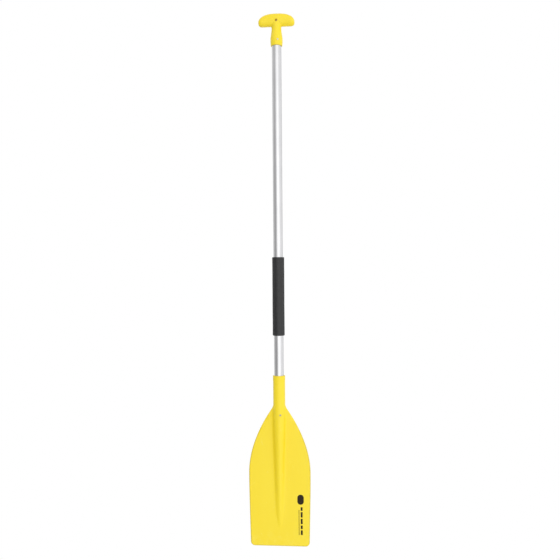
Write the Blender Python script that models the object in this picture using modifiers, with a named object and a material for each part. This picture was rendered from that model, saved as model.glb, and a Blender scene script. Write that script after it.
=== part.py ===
"""A single-blade boat paddle: a moulded blade and a moulded T-grip, riveted onto an aluminium tube.

Lengths are in metres. Every height below is measured up from the blade's tip. The whole paddle is
parented to an empty that puts the middle of the grip's hang hole at the origin, so the paddle hangs
straight down from there, and its front faces -Y.
"""

import math

import bmesh
import bpy

# Gap between neighbouring pieces, and how far a cutter runs past the face it cuts
GAP = 0.0003
CUT_PAST = 0.01

# Aluminium tube
TUBE_RADIUS = 0.0136
TUBE_WALL = 0.0013
TUBE_BOTTOM = 0.350
TUBE_TOP = 1.460
TUBE_STEPS = 32

# Foam hand sleeve
SLEEVE_BOTTOM = 0.6025
SLEEVE_TOP = 0.8265
SLEEVE_RADIUS = 0.01715
SLEEVE_ROUNDING = 0.0032

# Blade plate
BLADE_HALF_WIDTH = 0.0883
BLADE_WIDEST = 0.209
BLADE_TIP_HALF_WIDTH = 0.0846
BLADE_CORNER = 0.012
BLADE_THICKNESS = 0.005
BLADE_EDGE_BEVEL = 0.001
SHOULDER_ANGLE = math.radians(36.0)
SHOULDER_LOWER_HANDLE = 0.0635
SHOULDER_UPPER_HANDLE = 0.0777
THROAT_HEIGHT = 0.4026
THROAT_HALF_WIDTH = 0.0150

# Blade spine and socket
SOCKET_RADIUS = 0.01715
SOCKET_RIM = 0.488
SOCKET_LIP = 0.00035
SOCKET_LIP_HEIGHT = 0.013
SOCKET_LIP_CHAMFER = 0.0014
SPINE_FADE = 0.048
SPINE_NOSE = 0.075
SPINE_NOSE_HALF_WIDTH = 0.0080
SPINE_ROUND = 0.345
SPINE_TAPER_POWER = 0.9
SPINE_BURIED_DEPTH = 0.0023
RING_POINTS = 32

# T-grip
GRIP_TOP = 1.524
GRIP_HALF_LENGTH = 0.052
GRIP_UNDERSIDE = 1.4872
GRIP_TIP_HEIGHT = 1.500
GRIP_HALF_DEPTH = 0.014
GRIP_ARM_HALF_DEPTH = 0.0128
GRIP_WAIST = 0.030
GRIP_SECTIONS = 12
# 1 gives the bar an elliptical section, and less squares it off
GRIP_SQUARENESS = 0.9
GRIP_TIP_ROUNDING = 0.014
GRIP_TIP_POWER = 3.0
GRIP_DROOP = 0.0159
HANG_HOLE_HEIGHT = 1.502
HANG_HOLE_RADIUS = 0.0035
HANG_HOLE_STEPS = 24
# The stem's outer side, from inside the bar down to the mouth: (radius, height)
STEM_PROFILE = (
    (0.0128, 1.506),
    (0.0142, 1.489),
    (0.0139, 1.4805),
    (0.0146, 1.472),
    (0.0162, 1.461),
    (0.0172, 1.4545),
    (0.0174, 1.449),
    (0.0173, 1.440),
    (0.0167, 1.434),
    (0.0159, 1.431),
)
STEM_TOP = STEM_PROFILE[0][1]
GRIP_MOUTH = STEM_PROFILE[-1][1]

# Blind rivets, one through each socket and the front wall of the tube
GRIP_RIVET_HEIGHT = 1.446
GRIP_RIVET_SEAT = 0.0174
BLADE_RIVET_HEIGHT = 0.377
BLADE_RIVET_SEAT = SOCKET_RADIUS
# How far round from the front, towards +X, both rivets sit
RIVET_TURN = math.radians(15.0)
RIVET_HEAD_RADIUS = 0.0028
RIVET_HEAD_HEIGHT = 0.0011
RIVET_SHANK_RADIUS = 0.0016
RIVET_BORE_RADIUS = 0.0009
RIVET_BULB_RADIUS = 0.0023
RIVET_BULB_START = 0.0117
RIVET_BULB_END = 0.0095
MANDREL_HEAD_END = 0.0078
MANDREL_RECESS = 0.0004
RIVET_HOLE_START = 0.020
RIVET_HOLE_END = 0.008
RIVET_STEPS = 20

# Foam plugs that seal the tube
PLUG_LENGTH = 0.035
PLUG_CHAMFER = 0.001
LOWER_PLUG_BOTTOM = 0.392
UPPER_PLUG_BOTTOM = 1.398


def clear_scene():
    for old in list(bpy.data.objects):
        bpy.data.objects.remove(old, do_unlink=True)


def add_collection(name):
    collection = bpy.data.collections.new(name)
    bpy.context.scene.collection.children.link(collection)
    return collection


def add_material(name, colour, roughness, metallic=0.0):
    material = bpy.data.materials.new(name)
    material.use_nodes = True
    shader = material.node_tree.nodes["Principled BSDF"]
    shader.inputs["Base Color"].default_value = (*colour, 1.0)
    shader.inputs["Roughness"].default_value = roughness
    shader.inputs["Metallic"].default_value = metallic
    material.diffuse_color = (*colour, 1.0)
    return material


def add_object(name, data, collection):
    made = bpy.data.objects.new(name, data)
    collection.objects.link(made)
    return made


def finish_part(part, material, parent, sharp_angle=math.radians(40.0)):
    """Gives a part its material, smooth shading and its place under the paddle's empty."""
    part.data.materials.clear()
    part.data.materials.append(material)
    part.data.shade_smooth()
    part.data.set_sharp_from_angle(angle=sharp_angle)
    part.parent = parent


def turned(name, profile, collection, closed=False, steps=TUBE_STEPS):
    """Turns (radius, height) points about Z. The profile runs down the outer side, top to bottom."""
    mesh = bpy.data.meshes.new(name)
    points = [(radius, 0.0, height) for radius, height in profile]
    edges = [(i, i + 1) for i in range(len(points) - 1)]
    if closed:
        edges.append((len(points) - 1, 0))
    mesh.from_pydata(points, edges, [])
    made = add_object(name, mesh, collection)
    screw = made.modifiers.new("turn", "SCREW")
    screw.angle = math.tau
    screw.steps = steps
    screw.render_steps = steps
    screw.use_merge_vertices = True
    screw.merge_threshold = 0.00005
    return made


def baked(made):
    """Replaces an object's data with the mesh it evaluates to, its caps welded."""
    bpy.context.view_layer.update()
    graph = bpy.context.evaluated_depsgraph_get()
    mesh = bpy.data.meshes.new_from_object(made.evaluated_get(graph))
    cleaner = bmesh.new()
    cleaner.from_mesh(mesh)
    bmesh.ops.remove_doubles(cleaner, verts=cleaner.verts, dist=0.00001)
    bmesh.ops.recalc_face_normals(cleaner, faces=cleaner.faces)
    cleaner.to_mesh(mesh)
    cleaner.free()
    name = made.name
    place = made.matrix_world.copy()
    collection = made.users_collection[0]
    bpy.data.objects.remove(made, do_unlink=True)
    mesh.name = name
    replacement = add_object(name, mesh, collection)
    replacement.matrix_world = place
    return replacement


def lofted(name, rings, collection):
    """Closes a skin over rings of equally many points, with a flat cap on the first and the last."""
    count = len(rings[0])
    points = [point for ring in rings for point in ring]
    faces = [tuple(reversed(range(count)))]
    for ring in range(len(rings) - 1):
        start = ring * count
        for i in range(count):
            after = (i + 1) % count
            faces.append((start + i, start + after, start + count + after, start + count + i))
    faces.append(tuple(range(len(points) - count, len(points))))
    mesh = bpy.data.meshes.new(name)
    mesh.from_pydata(points, [], faces)
    cleaner = bmesh.new()
    cleaner.from_mesh(mesh)
    bmesh.ops.recalc_face_normals(cleaner, faces=cleaner.faces)
    cleaner.to_mesh(mesh)
    cleaner.free()
    return add_object(name, mesh, collection)


def combine(target, helper, operation):
    modifier = target.modifiers.new(f"{operation.lower()} {helper.name}", "BOOLEAN")
    modifier.object = helper
    modifier.operation = operation
    modifier.solver = "EXACT"


def hide_helper(helper, parent):
    helper.hide_render = True
    helper.display_type = "WIRE"
    helper.parent = parent


def cylinder_along_y(name, radius, height, y_start, y_end, collection, steps, turn=0.0):
    """A cutter for a hole that runs front to back at this height, or is turned about Z from there."""
    profile = [(0.0, y_end), (radius, y_end), (radius, y_start), (0.0, y_start)]
    drill = turned(name, profile, collection, steps=steps)
    drill.rotation_euler = (math.radians(-90.0), 0.0, turn)
    drill.location = (0.0, 0.0, height)
    return drill


def rivet_hole(name, height, collection):
    """A cutter for a rivet's hole through the front wall only."""
    radius = RIVET_SHANK_RADIUS + GAP
    start, end = -RIVET_HOLE_START, -RIVET_HOLE_END
    return cylinder_along_y(name, radius, height, start, end, collection, RIVET_STEPS, RIVET_TURN)


def blend_between(low, high, fraction):
    """A smooth step from low to high."""
    t = min(max(fraction, 0.0), 1.0)
    return low + (high - low) * t * t * (3.0 - 2.0 * t)


def ellipse_ring(half_width, half_depth, height, count=RING_POINTS):
    angles = [math.tau * i / count for i in range(count)]
    return [(half_width * math.cos(a), half_depth * math.sin(a), height) for a in angles]


def spine_half_width(height):
    """The ridge tapers almost evenly from the socket down to its nose, which is rounded off."""
    run = min(max((height - SPINE_NOSE) / (SPINE_ROUND - SPINE_NOSE), 0.0), 1.0)
    width = SPINE_NOSE_HALF_WIDTH + (SOCKET_RADIUS - SPINE_NOSE_HALF_WIDTH) * run**SPINE_TAPER_POWER
    closing = max((SPINE_NOSE - height) / (SPINE_NOSE - SPINE_FADE), 0.0)
    return width * math.sqrt(max(1.0 - closing * closing, 0.0))


def spine_half_depth(height):
    """The ridge is round at the socket and sinks into the plate towards the tip."""
    fraction = min((height - SPINE_FADE) / (SPINE_ROUND - SPINE_FADE), 1.0)
    return SPINE_BURIED_DEPTH + (SOCKET_RADIUS - SPINE_BURIED_DEPTH) * math.sin(math.pi / 2 * fraction)


def mirrored(point):
    """The same point on the left side, or None for no point."""
    return point and (-point[0], point[1])


def make_blade_plate(collection):
    curve = bpy.data.curves.new("blade", "CURVE")
    curve.dimensions = "2D"
    curve.fill_mode = "BOTH"
    curve.extrude = BLADE_THICKNESS / 2
    curve.resolution_u = 14
    # This share of its radius is the handle length that makes a quarter circle.
    corner_handle = BLADE_CORNER * 0.5523
    lean = (BLADE_HALF_WIDTH - BLADE_TIP_HALF_WIDTH) / 3
    side_handle = (BLADE_WIDEST - BLADE_CORNER) / 3
    # Right side, up from the tip: (point, handle before it, handle after it), each (x, height).
    # A handle of None starts or ends a straight edge.
    corner_end = (BLADE_TIP_HALF_WIDTH, BLADE_CORNER)
    corner_after = (BLADE_TIP_HALF_WIDTH + lean, BLADE_CORNER + side_handle)
    corner_start = (BLADE_TIP_HALF_WIDTH - BLADE_CORNER, 0.0)
    widest = (BLADE_HALF_WIDTH, BLADE_WIDEST)
    throat = (THROAT_HALF_WIDTH, THROAT_HEIGHT)
    throat_before = (
        THROAT_HALF_WIDTH + SHOULDER_UPPER_HANDLE * math.sin(SHOULDER_ANGLE),
        THROAT_HEIGHT - SHOULDER_UPPER_HANDLE * math.cos(SHOULDER_ANGLE),
    )
    right_side = [
        (corner_start, None, (corner_start[0] + corner_handle, 0.0)),
        (corner_end, (corner_end[0], corner_end[1] - corner_handle), corner_after),
        (widest, (widest[0], BLADE_WIDEST - side_handle), (widest[0], BLADE_WIDEST + SHOULDER_LOWER_HANDLE)),
        (throat, throat_before, None),
    ]
    left_side = [
        (mirrored(point), mirrored(after), mirrored(before)) for point, before, after in reversed(right_side)
    ]
    outline = right_side + left_side
    spline = curve.splines.new("BEZIER")
    spline.bezier_points.add(len(outline) - 1)
    spline.use_cyclic_u = True
    for knot, (point, before, after) in zip(spline.bezier_points, outline):
        knot.handle_left_type = "FREE" if before else "VECTOR"
        knot.handle_right_type = "FREE" if after else "VECTOR"
        knot.co = (*point, 0.0)
        knot.handle_left = (*(before or point), 0.0)
        knot.handle_right = (*(after or point), 0.0)
    plate = add_object("blade", curve, collection)
    plate.rotation_euler = (math.radians(90.0), 0.0, 0.0)
    plate = baked(plate)
    bevel = plate.modifiers.new("edge", "BEVEL")
    bevel.width = BLADE_EDGE_BEVEL
    bevel.segments = 1
    bevel.limit_method = "ANGLE"
    bevel.angle_limit = math.radians(60.0)
    return baked(plate)


def make_blade(parts, cutters, root):
    plate = make_blade_plate(parts)
    # The rings lie closer together where the ridge closes.
    first_ring = SPINE_FADE + 0.0015
    fading_heights = [first_ring + (SPINE_ROUND - SPINE_FADE) * (i / 16) ** 1.6 for i in range(16)]
    rings = [ellipse_ring(spine_half_width(z), spine_half_depth(z), z) for z in fading_heights]
    lip_bottom = SOCKET_RIM - SOCKET_LIP_HEIGHT
    socket_rings = (
        (SOCKET_RADIUS, SPINE_ROUND),
        (SOCKET_RADIUS, lip_bottom - SOCKET_LIP_CHAMFER),
        (SOCKET_RADIUS + SOCKET_LIP, lip_bottom),
        (SOCKET_RADIUS + SOCKET_LIP, SOCKET_RIM - SOCKET_LIP_CHAMFER),
        (SOCKET_RADIUS + SOCKET_LIP - SOCKET_LIP_CHAMFER / 2, SOCKET_RIM),
    )
    rings += [ellipse_ring(radius, radius, z) for radius, z in socket_rings]
    spine = lofted("blade_spine", rings, cutters)
    bore_radius = TUBE_RADIUS + GAP
    bore = turned(
        "blade_bore",
        [
            (0.0, SOCKET_RIM + CUT_PAST),
            (bore_radius, SOCKET_RIM + CUT_PAST),
            (bore_radius, TUBE_BOTTOM - GAP),
            (0.0, TUBE_BOTTOM - GAP),
        ],
        cutters,
    )
    drill = rivet_hole("blade_rivet_hole", BLADE_RIVET_HEIGHT, cutters)
    combine(plate, spine, "UNION")
    combine(plate, bore, "DIFFERENCE")
    combine(plate, drill, "DIFFERENCE")
    for helper in (spine, bore, drill):
        hide_helper(helper, root)
    return plate


def grip_ring(x, count=RING_POINTS):
    """One section of the T-bar: its top droops towards the tips, and the tips are rounded."""
    reach = abs(x)
    top = GRIP_TOP - GRIP_DROOP * (reach / GRIP_HALF_LENGTH) ** 3
    depth = blend_between(GRIP_HALF_DEPTH, GRIP_ARM_HALF_DEPTH, reach / GRIP_WAIST)
    run = max(reach - (GRIP_HALF_LENGTH - GRIP_TIP_ROUNDING), 0.0) / GRIP_TIP_ROUNDING
    closing = max(1.0 - run**GRIP_TIP_POWER, 0.0) ** (1.0 / GRIP_TIP_POWER)
    top = GRIP_TIP_HEIGHT + (top - GRIP_TIP_HEIGHT) * closing
    bottom = GRIP_TIP_HEIGHT + (GRIP_UNDERSIDE - GRIP_TIP_HEIGHT) * closing
    depth *= closing
    middle = (top + bottom) / 2
    half_height = (top - bottom) / 2
    ring = []
    for i in range(count):
        angle = math.tau * i / count
        across = math.copysign(abs(math.cos(angle)) ** GRIP_SQUARENESS, math.cos(angle))
        up = math.copysign(abs(math.sin(angle)) ** GRIP_SQUARENESS, math.sin(angle))
        ring.append((x, depth * across, middle + half_height * up))
    return ring


def make_t_grip(parts, cutters, root):
    # The sections lie closer together towards the rounded tips.
    turns = [math.pi / 2 * i / GRIP_SECTIONS for i in range(-GRIP_SECTIONS, GRIP_SECTIONS + 1)]
    last_section = GRIP_HALF_LENGTH * 0.999
    bar = lofted("t_grip", [grip_ring(last_section * math.sin(turn)) for turn in turns], parts)
    stem_profile = [(0.0, STEM_TOP), *STEM_PROFILE, (0.0, GRIP_MOUTH)]
    stem = turned("grip_stem", stem_profile, cutters)
    bore_radius = TUBE_RADIUS + GAP
    bore = turned(
        "grip_bore",
        [
            (0.0, TUBE_TOP + GAP),
            (bore_radius, TUBE_TOP + GAP),
            (bore_radius, GRIP_MOUTH - CUT_PAST),
            (0.0, GRIP_MOUTH - CUT_PAST),
        ],
        cutters,
    )
    past = GRIP_HALF_DEPTH + CUT_PAST
    hang_hole = cylinder_along_y(
        "hang_hole", HANG_HOLE_RADIUS, HANG_HOLE_HEIGHT, -past, past, cutters, HANG_HOLE_STEPS
    )
    drill = rivet_hole("grip_rivet_hole", GRIP_RIVET_HEIGHT, cutters)
    combine(bar, stem, "UNION")
    for cutter in (bore, hang_hole, drill):
        combine(bar, cutter, "DIFFERENCE")
    for helper in (stem, bore, hang_hole, drill):
        hide_helper(helper, root)
    return bar


def make_shaft_tube(parts, cutters, root):
    inner = TUBE_RADIUS - TUBE_WALL
    profile = [(TUBE_RADIUS, TUBE_TOP), (TUBE_RADIUS, TUBE_BOTTOM), (inner, TUBE_BOTTOM), (inner, TUBE_TOP)]
    tube = turned("shaft_tube", profile, parts, closed=True)
    for name, height in (("tube_upper_hole", GRIP_RIVET_HEIGHT), ("tube_lower_hole", BLADE_RIVET_HEIGHT)):
        hole = rivet_hole(name, height, cutters)
        combine(tube, hole, "DIFFERENCE")
        hide_helper(hole, root)
    return tube


def make_foam_sleeve(parts):
    inner = TUBE_RADIUS + GAP
    chamfer = SLEEVE_ROUNDING / 3
    profile = [
        (inner, SLEEVE_TOP),
        (SLEEVE_RADIUS - chamfer, SLEEVE_TOP),
        (SLEEVE_RADIUS, SLEEVE_TOP - chamfer),
        (SLEEVE_RADIUS, SLEEVE_BOTTOM + SLEEVE_ROUNDING),
        (SLEEVE_RADIUS - chamfer, SLEEVE_BOTTOM + chamfer),
        (SLEEVE_RADIUS - 2 * chamfer, SLEEVE_BOTTOM),
        (inner, SLEEVE_BOTTOM),
    ]
    return turned("foam_sleeve", profile, parts, closed=True)


def make_plug(name, bottom, parts):
    radius = TUBE_RADIUS - TUBE_WALL - GAP
    top = bottom + PLUG_LENGTH
    profile = [
        (0.0, top),
        (radius - PLUG_CHAMFER, top),
        (radius, top - PLUG_CHAMFER),
        (radius, bottom + PLUG_CHAMFER),
        (radius - PLUG_CHAMFER, bottom),
        (0.0, bottom),
    ]
    return turned(name, profile, parts, steps=24)


def make_rivet(name, seat, height, parts):
    """A set blind rivet: domed head outside, bulb inside the tube, and its mandrel's stub.

    The profiles hold distances out from the paddle's middle line, in place of heights.
    """
    seat += GAP
    face = seat + RIVET_HEAD_HEIGHT
    body_profile = [
        (RIVET_BORE_RADIUS, face),
        (RIVET_HEAD_RADIUS * 0.55, face - 0.0001),
        (RIVET_HEAD_RADIUS * 0.85, seat + RIVET_HEAD_HEIGHT * 0.6),
        (RIVET_HEAD_RADIUS, seat + RIVET_HEAD_HEIGHT * 0.2),
        (RIVET_HEAD_RADIUS, seat),
        (RIVET_SHANK_RADIUS, seat),
        (RIVET_SHANK_RADIUS, RIVET_BULB_START),
        (RIVET_BULB_RADIUS, RIVET_BULB_START - 0.0004),
        (RIVET_BULB_RADIUS, RIVET_BULB_END + 0.0004),
        (RIVET_BULB_RADIUS - 0.0005, RIVET_BULB_END),
        (RIVET_BORE_RADIUS, RIVET_BULB_END),
    ]
    mandrel_radius = RIVET_BORE_RADIUS - GAP
    head_base = RIVET_BULB_END - GAP
    mandrel_profile = [
        (0.0, face - MANDREL_RECESS),
        (mandrel_radius, face - MANDREL_RECESS),
        (mandrel_radius, head_base),
        (RIVET_SHANK_RADIUS, head_base),
        (RIVET_SHANK_RADIUS, MANDREL_HEAD_END + 0.0006),
        (mandrel_radius, MANDREL_HEAD_END),
        (0.0, MANDREL_HEAD_END),
    ]
    body = turned(name, body_profile, parts, closed=True, steps=RIVET_STEPS)
    mandrel = turned(f"{name}_mandrel", mandrel_profile, parts, steps=RIVET_STEPS)
    for piece in (body, mandrel):
        piece.rotation_euler = (math.radians(90.0), 0.0, RIVET_TURN)
        piece.location = (0.0, 0.0, height)
    return body, mandrel


def main():
    clear_scene()
    parts = add_collection("t_grip_paddle")
    cutters = add_collection("cutters")
    root = bpy.data.objects.new("paddle", None)
    root.location = (0.0, 0.0, -HANG_HOLE_HEIGHT)
    parts.objects.link(root)

    yellow_plastic = add_material("yellow_plastic", (0.90, 0.70, 0.05), 0.42)
    satin_aluminium = add_material("satin_aluminium", (0.72, 0.72, 0.73), 0.34, metallic=1.0)
    black_foam = add_material("black_foam", (0.035, 0.035, 0.037), 0.92)
    rivet_aluminium = add_material("rivet_aluminium", (0.78, 0.78, 0.78), 0.3, metallic=1.0)
    mandrel_steel = add_material("mandrel_steel", (0.35, 0.34, 0.33), 0.45, metallic=1.0)
    plug_foam = add_material("plug_foam", (0.75, 0.74, 0.70), 0.9)

    finish_part(make_blade(parts, cutters, root), yellow_plastic, root)
    finish_part(make_t_grip(parts, cutters, root), yellow_plastic, root)
    finish_part(make_shaft_tube(parts, cutters, root), satin_aluminium, root)
    finish_part(make_foam_sleeve(parts), black_foam, root)
    finish_part(make_plug("lower_plug", LOWER_PLUG_BOTTOM, parts), plug_foam, root)
    finish_part(make_plug("upper_plug", UPPER_PLUG_BOTTOM, parts), plug_foam, root)
    for name, seat, height in (
        ("grip_rivet", GRIP_RIVET_SEAT, GRIP_RIVET_HEIGHT),
        ("blade_rivet", BLADE_RIVET_SEAT, BLADE_RIVET_HEIGHT),
    ):
        body, mandrel = make_rivet(name, seat, height, parts)
        finish_part(body, rivet_aluminium, root)
        finish_part(mandrel, mandrel_steel, root)


main()
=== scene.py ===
"""The looks of the T-grip paddle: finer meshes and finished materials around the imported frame.

Lengths are in metres. Heights are measured up from the blade's tip and then moved into the frame,
whose origin is the grip's hang hole. The front of the paddle faces -Y.
"""

import math

import bmesh
import bpy
import numpy as np
from mathutils import Matrix, Vector, noise


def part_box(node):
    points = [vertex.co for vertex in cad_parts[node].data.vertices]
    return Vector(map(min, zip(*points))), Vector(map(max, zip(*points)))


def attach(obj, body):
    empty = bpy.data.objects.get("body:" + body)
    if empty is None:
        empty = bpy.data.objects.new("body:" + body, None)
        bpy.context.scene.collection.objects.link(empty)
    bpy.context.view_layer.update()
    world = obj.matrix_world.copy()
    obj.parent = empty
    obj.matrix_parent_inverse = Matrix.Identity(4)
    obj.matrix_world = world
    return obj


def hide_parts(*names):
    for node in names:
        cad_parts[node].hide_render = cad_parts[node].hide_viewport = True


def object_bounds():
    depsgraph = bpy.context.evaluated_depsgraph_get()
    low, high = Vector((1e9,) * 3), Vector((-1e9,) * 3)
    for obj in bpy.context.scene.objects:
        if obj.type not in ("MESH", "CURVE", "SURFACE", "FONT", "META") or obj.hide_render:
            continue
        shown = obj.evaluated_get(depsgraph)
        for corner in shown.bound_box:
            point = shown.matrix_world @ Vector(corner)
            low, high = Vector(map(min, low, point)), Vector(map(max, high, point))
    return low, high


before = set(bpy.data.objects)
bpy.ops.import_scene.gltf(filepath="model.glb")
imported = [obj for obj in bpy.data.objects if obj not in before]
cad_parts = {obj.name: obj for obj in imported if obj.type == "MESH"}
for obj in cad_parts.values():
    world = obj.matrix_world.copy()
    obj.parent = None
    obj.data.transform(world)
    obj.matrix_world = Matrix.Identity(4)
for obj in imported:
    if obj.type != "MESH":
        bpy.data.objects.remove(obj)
cad_low, cad_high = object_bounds()

TIP = cad_low.z
GAP = 0.0003
CUTTER_REACH = 0.020
MOULDING_SHARP_ANGLE = math.radians(40.0)

# Blade
BLADE_HALF_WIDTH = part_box("blade")[1].x
SOCKET_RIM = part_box("blade")[1].z - TIP
BLADE_TIP_HALF_WIDTH = BLADE_HALF_WIDTH - 0.0037
BLADE_CORNER = 0.012
BLADE_HALF_THICKNESS = 0.0025
BLADE_WIDEST = 0.209
SHOULDER_ANGLE = math.radians(36.0)
SHOULDER_LOWER_HANDLE = 0.0635
SHOULDER_UPPER_HANDLE = 0.0777
THROAT = (0.0150, 0.4026)
SOCKET_RADIUS = 0.01715
SOCKET_LIP = 0.00035
SOCKET_LIP_HEIGHT = 0.013
LIP_RAMP = 0.0012
SPINE_FADE = 0.048
SPINE_NOSE = 0.075
SPINE_NOSE_HALF_WIDTH = 0.0080
SPINE_ROUND = 0.345
SPINE_TAPER_POWER = 0.9
SPINE_BURIED_DEPTH = 0.0023
SPINE_FILLET = 0.006

# Printed marks on the blade's front: the (x, height) middle and half size of the patch and the rule,
# and the middle height and half length of each bar
PRINT_PATCH = ((0.0592, 0.1340), (0.0092, 0.0144))
PRINT_BAR_X = 0.0620
PRINT_BAR_HALF_WIDTH = 0.0028
PRINT_BARS = ((0.1075, 0.0052), (0.0910, 0.0078), (0.0720, 0.0078), (0.0555, 0.0052), (0.0400, 0.0068))
PRINT_RULE = ((0.0545, 0.0690), (0.0008, 0.0360))

# Tube and sleeve
TUBE_LOW, TUBE_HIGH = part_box("shaft_tube")
TUBE_RADIUS = TUBE_HIGH.x
TUBE_WALL = 0.0013
SLEEVE_LOW, SLEEVE_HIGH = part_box("foam_sleeve")

# T-grip
GRIP_LOW, GRIP_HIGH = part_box("t_grip")
GRIP_HALF_LENGTH = 0.052
GRIP_UNDERSIDE = 1.4872
GRIP_TIP_HEIGHT = 1.500
GRIP_HALF_DEPTH = 0.014
GRIP_ARM_HALF_DEPTH = 0.0128
GRIP_WAIST = 0.030
GRIP_SQUARENESS = 0.9
GRIP_TIP_ROUNDING = 0.014
GRIP_TIP_POWER = 3.0
GRIP_DROOP = 0.0159
GRIP_VOXEL = 0.0008
HANG_HOLE_RADIUS = 0.0035
HANG_HOLE_ROUNDING = 0.0016
# The stem's outer side, from inside the bar down to the mouth: (radius, height)
STEM_PROFILE = (
    (0.0128, 1.506),
    (0.0142, 1.489),
    (0.0139, 1.4805),
    (0.0146, 1.472),
    (0.0162, 1.461),
    (0.0172, 1.4545),
    (0.0174, 1.449),
    (0.0173, 1.440),
    (0.0167, 1.434),
    (0.0159, 1.431),
)

# Rivets: the height of each, and how far out its head is seated
RIVETS = {"grip_rivet": (1.446, 0.0174), "blade_rivet": (0.377, SOCKET_RADIUS)}
RIVET_TURN = math.radians(15.0)
DRILL_END = 0.008
RIVET_HEAD_RADIUS = 0.0028
RIVET_HEAD_HEIGHT = 0.0011
RIVET_SHANK_RADIUS = 0.0016
RIVET_BORE_RADIUS = 0.0009
RIVET_BULB_RADIUS = 0.0023
RIVET_BULB_START = 0.0117
RIVET_BULB_END = 0.0095
MANDREL_HEAD_END = 0.0078
MANDREL_RECESS = 0.0004

# Camera
CAMERA_DISTANCE = 2.0
CAMERA_AZIMUTH = math.radians(5.0)
CAMERA_HEIGHT = 0.7615
CAMERA_ROLL = math.radians(0.43)
CAMERA_SIDESTEP = 0.0048
VIEW_WIDTH = 1.6042
SENSOR_WIDTH = 36.0

# The floor's size and its drop below the tip, and how bright the backdrop is
FLOOR_RADIUS = 2.2
FLOOR_DROP = 1.0
BACKDROP_LEVEL = 1.0

# The light tent's brightness, and patches laid over it in turn. Each patch holds the azimuth and
# elevation of its middle, the angles where it starts and is whole, and its brightness.
TENT_LEVEL = 1.06
TENT_PATCHES = (
    (0.0, 90.0, 70.0, 20.0, 0.90),
    (0.0, -90.0, 70.0, 20.0, 0.84),
    (-68.0, -18.0, 62.0, 12.0, 0.40),
    (12.0, -4.0, 45.0, 6.0, 1.62),
    (180.0, 0.0, 62.0, 46.0, 0.62),
    (180.0, 0.0, 38.0, 31.5, 1.0),
)


def mesh_object(name, points, faces):
    mesh = bpy.data.meshes.new(name)
    mesh.from_pydata([tuple(map(float, point)) for point in points], [], faces)
    tidy_normals(mesh)
    made = bpy.data.objects.new(name, mesh)
    bpy.context.scene.collection.objects.link(made)
    return made


def tidy_normals(mesh):
    cleaner = bmesh.new()
    cleaner.from_mesh(mesh)
    bmesh.ops.recalc_face_normals(cleaner, faces=cleaner.faces)
    cleaner.to_mesh(mesh)
    cleaner.free()


def smooth_shaded(made, angle=math.radians(35.0)):
    made.data.shade_smooth()
    made.data.set_sharp_from_angle(angle=angle)
    return made


def bridged_faces(rings, count, closed=False):
    """Quads between each ring of points and the next."""
    faces = []
    for ring in range(rings if closed else rings - 1):
        start = ring * count
        above = (ring + 1) % rings * count
        for i in range(count):
            after = (i + 1) % count
            faces.append((start + i, start + after, above + after, above + i))
    return faces


def revolved(name, profile, steps=96, place=None):
    """Turns (radius, height) points about Z. A profile that doesn't start on the axis is a loop."""
    profile = list(profile)
    on_axis = profile[0][0] == 0.0
    inner = profile[1:-1] if on_axis else profile
    points = []
    for radius, height in inner:
        for i in range(steps):
            turn = math.tau * i / steps
            points.append((radius * math.cos(turn), radius * math.sin(turn), height))
    faces = bridged_faces(len(inner), steps, closed=not on_axis)
    if on_axis:
        first, last = len(points), len(points) + 1
        points += [(0.0, 0.0, profile[0][1]), (0.0, 0.0, profile[-1][1])]
        end = (len(inner) - 1) * steps
        for i in range(steps):
            after = (i + 1) % steps
            faces.append((first, i, after))
            faces.append((last, end + after, end + i))
    if place is not None:
        points = [place @ Vector(point) for point in points]
    return mesh_object(name, points, faces)


def rounded(corner, before, after, radius, steps=5):
    """Points of a circular-looking arc that rounds off a profile's corner."""
    corner, before, after = Vector(corner), Vector(before), Vector(after)
    start = corner + (before - corner).normalized() * radius
    end = corner + (after - corner).normalized() * radius
    arc = []
    for i in range(steps + 1):
        t = i / steps
        point = start * (1 - t) ** 2 + corner * 2 * t * (1 - t) + end * t * t
        arc.append((point.x, point.y))
    return arc


def apply_modifiers(made):
    graph = bpy.context.evaluated_depsgraph_get()
    mesh = bpy.data.meshes.new_from_object(made.evaluated_get(graph))
    made.modifiers.clear()
    old = made.data
    made.data = mesh
    bpy.data.meshes.remove(old)
    return made


def cut(target, *cutters):
    for cutter in cutters:
        modifier = target.modifiers.new("cut", "BOOLEAN")
        modifier.object = cutter
        modifier.operation = "DIFFERENCE"
        modifier.solver = "EXACT"
    apply_modifiers(target)
    for cutter in cutters:
        bpy.data.objects.remove(cutter, do_unlink=True)
    return target


def facing_front(height, turn=0.0):
    """Carries a profile turned about Z onto the -Y axis, or an axis turned from it, at this height."""
    level = Matrix.Translation((0.0, 0.0, TIP + height)) @ Matrix.Rotation(turn, 4, "Z")
    return level @ Matrix.Rotation(math.radians(90.0), 4, "X")


def rivet_drill(name):
    height, _ = RIVETS[name]
    radius = RIVET_SHANK_RADIUS + GAP
    profile = [(0.0, CUTTER_REACH), (radius, CUTTER_REACH), (radius, DRILL_END), (0.0, DRILL_END)]
    return revolved("drill", profile, steps=32, place=facing_front(height, RIVET_TURN))


def smoothstep(low, high, value):
    t = np.clip((value - low) / (high - low), 0.0, 1.0)
    return t * t * (3.0 - 2.0 * t)


# ---------------------------------------------------------------------------------- blade


def bezier(*corners, count=200):
    """Points of the cubic curve with these four control points."""
    t = np.linspace(0.0, 1.0, count)[:, None]
    shares = ((1 - t) ** 3, 3 * (1 - t) ** 2 * t, 3 * (1 - t) * t**2, t**3)
    return sum(share * np.array(corner) for share, corner in zip(shares, corners))


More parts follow.
